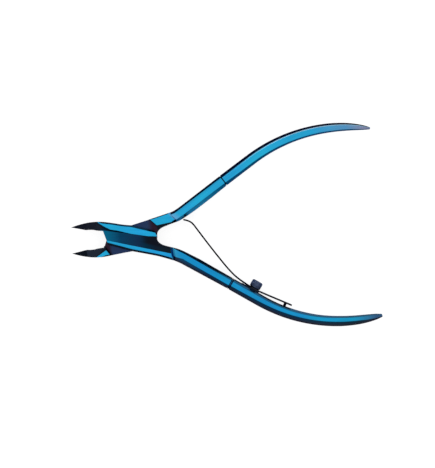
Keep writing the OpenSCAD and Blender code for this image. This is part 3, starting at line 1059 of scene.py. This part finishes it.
def turned_grain(ob, matrix):
    """Grain that runs round the axis of a turned piece."""
    inverse = matrix.inverted()
    grain = []
    for loop in ob.data.loops:
        p = inverse @ ob.data.vertices[loop.vertex_index].co
        grain.append((math.atan2(p.y, p.x) * 0.002, math.hypot(p.x, p.y), p.z))
    store_vectors(ob.data, "grain", grain)


def edge_arc(r, z, radius, start_deg, steps=5):
    """Profile points of a rounded rim about the centre (r, z), over a quarter turn."""
    return [(r + radius * math.cos(math.radians(start_deg + 90 * k / steps)),
             z + radius * math.sin(math.radians(start_deg + 90 * k / steps)))
            for k in range(steps + 1)]


def spring_screw():
    """Knurled drum head with rounded rims, a slot across its top and a plain shank."""
    axis = PLACE_FRONT @ Matrix.Translation((*(on_shank(SCREW_AT, HANDLE_W / 2) * MM), 0)) \
        @ Matrix.Rotation(-SHANK_ANGLE, 4, "Z") @ Matrix.Rotation(-math.pi / 2, 4, "X")
    base = SEAT_H + SPRING_T
    top = base + DRUM_H
    r = DRUM_D / 2
    rim, groove, knurl_depth, teeth = 0.6, 0.09, 0.07, 4
    band_low, band_high = base + 0.75, top - 0.75
    profile = [(0, -2.4), (0.6, -2.4), (0.78, -2.2), (0.8, base)]
    profile += edge_arc(r - rim, base + rim, rim, -90)
    profile += [(r, band_low - 0.1), (r - groove, band_low), (r - groove, band_low + 0.08)]
    profile += [(r - 0.01, band_low + 0.14), (r - 0.01, band_high - 0.14)]
    profile += [(r - groove, band_high - 0.08), (r - groove, band_high), (r, band_high + 0.1)]
    profile += edge_arc(r - rim, top - rim, rim, 0)
    profile += [(r * 0.4, top), (0, top)]

    def knurl(z, k):
        """Ridges round the band between the two grooves, one for every few segments."""
        if not band_low + 0.1 < z < band_high - 0.1:
            return 0
        return knurl_depth * (1 - abs((k % teeth) / (teeth / 2) - 1))

    bm = bmesh.new()
    lathe(bm, profile, 144, axis, knurl)
    ob = new_object("spring_screw_head", bm, smooth_deg=50)
    cut(ob, box_bm((-DRUM_D, -DRUM_SLOT_W / 2, top - DRUM_SLOT_DEPTH),
                   (DRUM_D, DRUM_SLOT_W / 2, top + 1), axis))
    finish_screw(ob, axis)
    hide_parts("spring_screw")
    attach(ob, "front_half")


def finish_screw(ob, axis):
    """Shading, grain and steel of a screw whose slot has been cut."""
    shade_again(ob, 40)
    turned_grain(ob, axis)
    ob.data.materials.clear()
    ob.data.materials.append(SCREW_STEEL)


def pivot_screw():
    """Slotted head with a rounded rim, sunk in the back face, and its plain shank."""
    low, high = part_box("pivot_screw")
    head_r = (high.x - low.x) / 2 / MM
    sink = low.z / MM
    rim = 0.3
    shank_r, thread_r, end = PIVOT_D / 2, PIVOT_THREAD_D / 2, high.z / MM
    under_head = sink + PIVOT_HEAD_T
    profile = [(0, sink), (head_r * 0.45, sink + 0.01)]
    profile += edge_arc(head_r - rim, sink + rim, rim, -90)
    profile += [(head_r, under_head), (shank_r, under_head), (shank_r, HALF_T),
                (thread_r, HALF_T), (thread_r, end - 0.2), (thread_r - 0.2, end), (0, end)]
    bm = bmesh.new()
    lathe(bm, profile, 96, Matrix.Identity(4))
    ob = new_object("pivot_screw_head", bm, smooth_deg=50)
    cut(ob, box_bm((-4, -PIVOT_SLOT_W / 2, sink - 1),
                   (4, PIVOT_SLOT_W / 2, sink + PIVOT_SLOT_DEPTH), Matrix.Identity(4)))
    finish_screw(ob, Matrix.Identity(4))
    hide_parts("pivot_screw")
    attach(ob, "front_half")


def locating_pin():
    """Small pin with a domed end that stands through the spring's tail."""
    heading = TAIL_END - TAIL_START
    angle = math.atan2(heading[1], heading[0])
    gap = PIN_GAP + SPRING_T / 2
    foot = TAIL_START + PIN_AT * heading - gap * np.array([-math.sin(angle), math.cos(angle)])
    axis = PLACE_FRONT @ Matrix.Translation((*(foot * MM), 0)) \
        @ Matrix.Rotation(angle, 4, "Z") @ Matrix.Rotation(-math.pi / 2, 4, "X")
    r = PIN_D / 2
    top = gap + SPRING_T / 2
    profile = [(0, -1.7), (r - 0.1, -1.7), (r, -1.6), (r, top - 0.22)]
    profile += edge_arc(r - 0.2, top - 0.2, 0.2, 0)
    profile += [(0, top)]
    bm = bmesh.new()
    lathe(bm, profile, 48, axis)
    ob = new_object("locating_pin_turned", bm, smooth_deg=50)
    turned_grain(ob, axis)
    ob.data.materials.append(SPRING_STEEL)
    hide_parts("locating_pin")
    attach(ob, "front_half")


# ---------------------------------------------------------------- studio

def studio():
    """Pale floor, soft light from above and from one side, and the camera."""
    scene = bpy.context.scene
    bm = bmesh.new()
    bmesh.ops.create_grid(bm, x_segments=8, y_segments=8, size=1.6)
    floor = plain_object("floor", bm)
    floor.location.z = -0.00002
    floor.data.materials.append(floor_material())

    world = bpy.data.worlds.new("studio")
    scene.world = world
    world.use_nodes = True
    nt = world.node_tree
    background = nt.nodes["Background"]
    sky = split_vector(nt, nt.nodes.new("ShaderNodeTexCoord").outputs["Generated"])
    up = spread(nt, sky["Z"], -0.1, 1.0)
    ramp = nt.nodes.new("ShaderNodeValToRGB")
    ramp.color_ramp.interpolation = "EASE"
    ramp.color_ramp.elements[0].position = 0.15
    ramp.color_ramp.elements[0].color = (0.8, 0.82, 0.85, 1)
    ramp.color_ramp.elements[1].position = 0.9
    ramp.color_ramp.elements[1].color = (1, 1, 1, 1)
    nt.links.new(up, ramp.inputs[0])
    nt.links.new(ramp.outputs[0], background.inputs["Color"])
    background.inputs["Strength"].default_value = 0.75

    def softbox(name, at, target, size, power):
        lamp = bpy.data.lights.new(name, "AREA")
        lamp.shape = "RECTANGLE"
        lamp.size, lamp.size_y = size
        lamp.energy = power
        ob = bpy.data.objects.new(name, lamp)
        scene.collection.objects.link(ob)
        ob.location = at
        ob.rotation_euler = (Vector(target) - Vector(at)).to_track_quat("-Z", "Y").to_euler()

    softbox("overhead", (0.03, 0.0, 0.95), (0.03, 0, 0), (0.9, 0.9), 0.65)
    softbox("side", (-0.25, 0.55, 0.5), (0.03, 0, 0), (0.5, 0.3), 0.8)

    cam = bpy.data.cameras.new("camera")
    cam.lens = 120
    cam.sensor_width = 36
    cam.clip_start = 0.01
    ob = bpy.data.objects.new("camera", cam)
    scene.collection.objects.link(ob)
    # Straight above, with the tool turned a little in the frame
    ob.location = (0.0300, -0.0005, 0.0045 + 0.546)
    ob.rotation_euler = (0, 0, math.radians(-3.8))
    scene.camera = ob
    scene.view_settings.view_transform = "Standard"


forging("front_jaw", "front_half", front=True)
forging("rear_jaw", "rear_half", front=False)
grip("lower_grip", "front_half", front=True, groove_at=0.68)
grip("upper_grip", "rear_half", front=False, groove_at=None)
pivot_screw()
leaf_spring()
spring_screw()
locating_pin()
studio()
